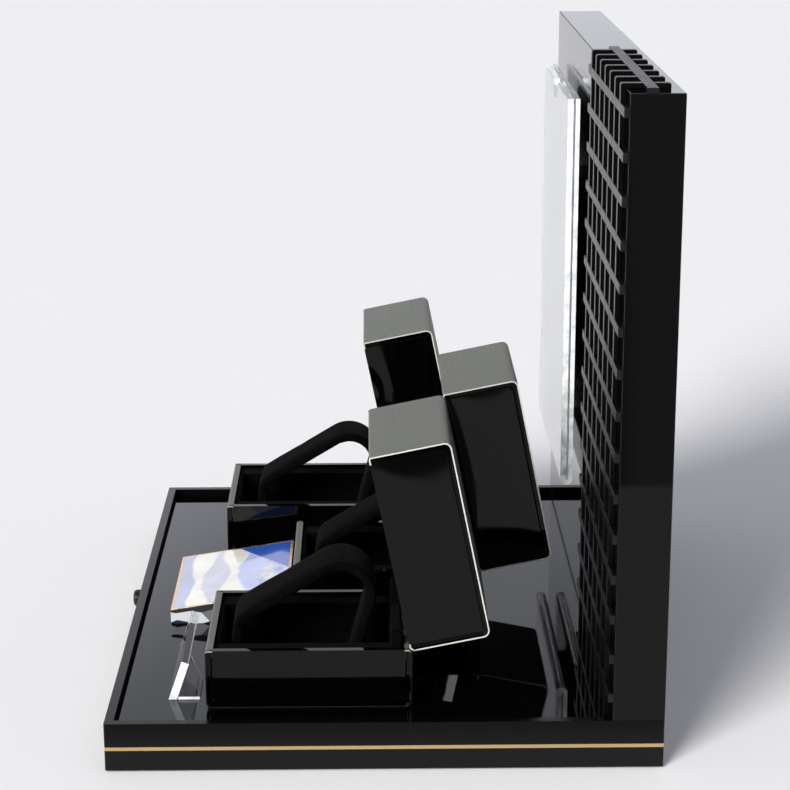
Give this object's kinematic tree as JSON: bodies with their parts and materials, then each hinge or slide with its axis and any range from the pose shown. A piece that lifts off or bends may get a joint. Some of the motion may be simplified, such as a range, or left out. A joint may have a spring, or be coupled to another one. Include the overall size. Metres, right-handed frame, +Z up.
{
  "type": "watch display stand",
  "caption": "Black gloss counter display: recessed tray with a gold strip, upright panel with lattice and poster holder, and open hinged watch boxes with cuffs.",
  "frame": {"origin": "on the floor under the centre of the bounding box, which lies half the front stud's reach in front of the base's own centre", "axes": "+X to the right seen from the front, +Y to the back panel, +Z up"},
  "size_m": [0.4, 0.3046, 0.366],
  "materials": {
    "black_lacquer": "satin black lacquer over board",
    "panel_lacquer": "mirror gloss black lacquer over board",
    "tray_gloss": "mirror gloss black sheet",
    "cover_board": "matt black",
    "zinc_steel": "zinc plated",
    "gold": "polished gold strip",
    "foot_rubber": "matt",
    "stud_black": "satin black",
    "lattice_grey": "satin dark grey",
    "clear_acrylic": "clear with polished edges",
    "poster_card": "white sheet",
    "spacer_black": "matt black",
    "picture_print": "glossy print",
    "border_gold": "pale gold",
    "box_lacquer": "black gloss lacquer over board",
    "leatherette": "fine-grained grey-green leatherette",
    "suede": "black suede",
    "hinge_steel": "plain"
  },
  "bodies": {
    "stand": {"base_carcass": "black_lacquer", "tray_floor": "tray_gloss", "base_bottom_cover": "cover_board", "gold_trim": "gold", "rubber_feet": "foot_rubber", "front_stud": "stud_black", "back_panel": "panel_lacquer", "panel_bolts": "zinc_steel", "lattice_cross_bars": "lattice_grey", "lattice_top_bar": "lattice_grey", "poster_holder": "clear_acrylic", "holder_spacer_lower": "spacer_black", "holder_spacer_upper": "spacer_black", "picture_block": "clear_acrylic", "picture_border": "border_gold", "picture_card": "picture_print", "name_block_upright": "clear_acrylic", "name_block_foot": "clear_acrylic", "lattice_slat_1": "lattice_grey", "lattice_slat_2": "lattice_grey", "lattice_slat_3": "lattice_grey", "lattice_slat_4": "lattice_grey", "lattice_slat_5": "lattice_grey", "lattice_slat_6": "lattice_grey", "lattice_slat_7": "lattice_grey", "right_base_shell": "box_lacquer", "right_base_wrap": "leatherette", "right_base_liner": "suede", "right_hinge_leaf_base": "hinge_steel", "right_hinge_pin": "hinge_steel", "centre_base_shell": "box_lacquer", "centre_base_wrap": "leatherette", "centre_base_liner": "suede", "centre_hinge_leaf_base": "hinge_steel", "centre_hinge_pin": "hinge_steel", "left_base_shell": "box_lacquer", "left_base_wrap": "leatherette", "left_base_liner": "suede", "left_hinge_leaf_base": "hinge_steel", "left_hinge_pin": "hinge_steel"},
    "right_lid": {"right_lid_shell": "box_lacquer", "right_lid_wrap": "leatherette", "right_lid_lining": "suede", "right_hinge_leaf_lid": "hinge_steel"},
    "right_watch_cuff": {"right_cuff": "suede"},
    "centre_lid": {"centre_lid_shell": "box_lacquer", "centre_lid_wrap": "leatherette", "centre_lid_lining": "suede", "centre_hinge_leaf_lid": "hinge_steel"},
    "centre_watch_cuff": {"centre_cuff": "suede"},
    "left_lid": {"left_lid_shell": "box_lacquer", "left_lid_wrap": "leatherette", "left_lid_lining": "suede", "left_hinge_leaf_lid": "hinge_steel"},
    "left_watch_cuff": {"left_cuff": "suede"},
    "poster": {"poster_sheet": "poster_card"}
  },
  "joints": [
    {"name": "right_lid_hinge", "type": "hinge", "parent": "stand", "child": "right_lid", "pos_m": [0.12388, 0.01648, 0.05695], "axis": [-1, 0, 0], "range_deg": [-78.5, 0]},
    {"name": "centre_lid_hinge", "type": "hinge", "parent": "stand", "child": "centre_lid", "pos_m": [0.00238, 0.06004, 0.05695], "axis": [-1, 0, 0], "range_deg": [-78.5, 0]},
    {"name": "left_lid_hinge", "type": "hinge", "parent": "stand", "child": "left_lid", "pos_m": [-0.11912, 0.01348, 0.05695], "axis": [-1, 0, 0], "range_deg": [-78.5, 0]},
    {"name": "right_cuff_lift", "type": "slide", "parent": "stand", "child": "right_watch_cuff", "axis": [0, 0, 1], "range_m": [0, 0.045]},
    {"name": "centre_cuff_lift", "type": "slide", "parent": "stand", "child": "centre_watch_cuff", "axis": [0, 0, 1], "range_m": [0, 0.045]},
    {"name": "left_cuff_lift", "type": "slide", "parent": "stand", "child": "left_watch_cuff", "axis": [0, 0, 1], "range_m": [0, 0.045]},
    {"name": "poster_lift", "type": "slide", "parent": "stand", "child": "poster", "axis": [0, 0, 1], "range_m": [0, 0.24]}
  ]
}
